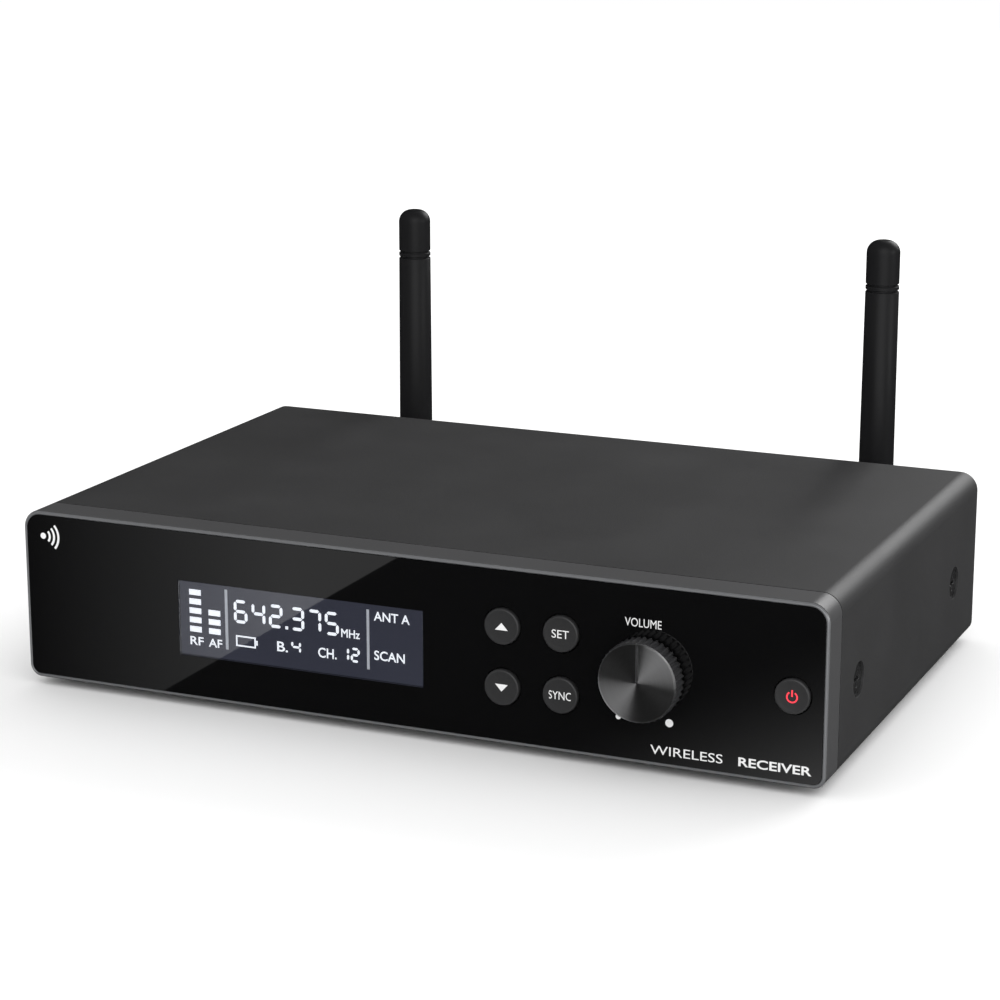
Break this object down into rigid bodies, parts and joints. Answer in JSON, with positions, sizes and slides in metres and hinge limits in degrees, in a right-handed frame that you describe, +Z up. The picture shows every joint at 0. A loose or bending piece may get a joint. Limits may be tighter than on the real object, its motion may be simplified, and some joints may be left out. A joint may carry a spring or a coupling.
{
  "type": "wireless receiver",
  "caption": "Half-rack wireless receiver: flat steel housing, gloss front with display, push buttons and a volume knob, and folding rear antennas on bayonet plugs.",
  "frame": {"origin": "middle of the overall envelope with the antennas upright, on the plane the feet stand on", "axes": "+X to the right seen from the front, +Y toward the rear panel, +Z up; the front panel faces -Y"},
  "size_m": [0.2, 0.1596, 0.097],
  "materials": {
    "cover_paint": "fine textured powder coat, dark charcoal",
    "frame_paint": "satin charcoal paint",
    "tray_steel": "satin dark grey paint",
    "rear_paint": "fine textured powder coat",
    "bright_edge": "bright cut edge",
    "gloss_black": "polished black",
    "window": "clear, polished",
    "lcd": "back-lit blue-grey",
    "holder_white": "moulded",
    "foot_rubber": "matt",
    "screw_black": "black zinc",
    "screw_steel": "zinc plated",
    "board_green": "solder mask",
    "chip_black": "moulded",
    "can_steel": "tinned sheet",
    "capacitor_sleeve": "shrink sleeve",
    "cable_grey": "flat cable",
    "header_cream": "moulded",
    "lamp_red": "lit",
    "knob_black": "satin",
    "knob_metal": "turned, black anodised",
    "button_grey": "satin",
    "nickel": "nickel plated",
    "gold": "gold plated",
    "insulator_white": "waxy",
    "insert_black": "moulded",
    "plug_metal": "dark nickel",
    "antenna_black": "satin rubber"
  },
  "bodies": {
    "housing": {"top_cover": "cover_paint", "base_tray": "tray_steel", "rear_panel": "rear_paint", "front_frame": "frame_paint", "edge_trim": "bright_edge", "front_panel": "gloss_black", "display_window": "window", "lcd_panel": "lcd", "lcd_holder": "holder_white", "feet": "foot_rubber", "bottom_screws": "screw_black", "side_screws": "screw_black", "front_board": "board_green", "main_board": "board_green", "standoffs": "screw_steel", "board_screws": "screw_steel", "ribbon_cable": "cable_grey", "board_headers": "header_cream", "rf_shields": "can_steel", "chips": "chip_black", "capacitors": "capacitor_sleeve", "standby_led": "lamp_red", "tact_switches": "header_cream", "pot_body": "can_steel", "pot_nut": "screw_steel", "bnc_sockets": "nickel", "bnc_nuts": "nickel", "bnc_insulators": "insulator_white", "bnc_contacts": "gold", "xlr_shell": "nickel", "xlr_insert": "insert_black", "xlr_pins": "gold", "xlr_screws": "screw_black", "jack_socket": "insert_black", "jack_nut": "nickel", "dc_socket": "insert_black", "dc_pin": "nickel"},
    "knob": {"volume_knob": "knob_black", "knob_cap": "knob_metal", "pot_shaft": "screw_steel"},
    "key_up": {"button_up": "button_grey"},
    "key_down": {"button_down": "button_grey"},
    "key_set": {"button_set": "button_grey"},
    "key_sync": {"button_sync": "button_grey"},
    "key_power": {"button_power": "button_grey"},
    "lock_a": {"collar_a": "nickel"},
    "plug_a": {"plug_body_a": "plug_metal", "plug_pin_a": "gold", "hinge_pin_a": "screw_steel"},
    "antenna_a": {"mast_a": "antenna_black", "mast_tip_a": "antenna_black"},
    "lock_b": {"collar_b": "nickel"},
    "plug_b": {"plug_body_b": "plug_metal", "plug_pin_b": "gold", "hinge_pin_b": "screw_steel"},
    "antenna_b": {"mast_b": "antenna_black", "mast_tip_b": "antenna_black"}
  },
  "joints": [
    {"name": "volume_turn", "type": "hinge", "parent": "housing", "child": "knob", "pos_m": [0.0586, -0.0743, 0.0224], "axis": [0, 1, 0], "range_deg": [-140, 140]},
    {"name": "press_up", "type": "slide", "parent": "housing", "child": "key_up", "axis": [0, 1, 0], "range_m": [0, 0.0006], "stiffness_N_per_m": 1500, "springref_m": -0.0003},
    {"name": "press_down", "type": "slide", "parent": "housing", "child": "key_down", "axis": [0, 1, 0], "range_m": [0, 0.0006], "stiffness_N_per_m": 1500, "springref_m": -0.0003},
    {"name": "press_set", "type": "slide", "parent": "housing", "child": "key_set", "axis": [0, 1, 0], "range_m": [0, 0.0006], "stiffness_N_per_m": 1500, "springref_m": -0.0003},
    {"name": "press_sync", "type": "slide", "parent": "housing", "child": "key_sync", "axis": [0, 1, 0], "range_m": [0, 0.0006], "stiffness_N_per_m": 1500, "springref_m": -0.0003},
    {"name": "press_power", "type": "slide", "parent": "housing", "child": "key_power", "axis": [0, 1, 0], "range_m": [0, 0.0006], "stiffness_N_per_m": 1500, "springref_m": -0.0003},
    {"name": "lock_a_turn", "type": "hinge", "parent": "housing", "child": "lock_a", "pos_m": [-0.067, 0.0597, 0.0227], "axis": [0, 1, 0], "range_deg": [0, 85]},
    {"name": "antenna_a_swivel", "type": "hinge", "parent": "housing", "child": "plug_a", "pos_m": [-0.067, 0.0667, 0.0227], "axis": [0, 1, 0], "range_deg": [-90, 90]},
    {"name": "antenna_a_fold", "type": "hinge", "parent": "plug_a", "child": "antenna_a", "pos_m": [-0.067, 0.0752, 0.0227], "axis": [-1, 0, 0], "range_deg": [0, 90]},
    {"name": "lock_b_turn", "type": "hinge", "parent": "housing", "child": "lock_b", "pos_m": [0.067, 0.0597, 0.0227], "axis": [0, 1, 0], "range_deg": [0, 85]},
    {"name": "antenna_b_swivel", "type": "hinge", "parent": "housing", "child": "plug_b", "pos_m": [0.067, 0.0667, 0.0227], "axis": [0, 1, 0], "range_deg": [-90, 90]},
    {"name": "antenna_b_fold", "type": "hinge", "parent": "plug_b", "child": "antenna_b", "pos_m": [0.067, 0.0752, 0.0227], "axis": [-1, 0, 0], "range_deg": [0, 90]}
  ]
}
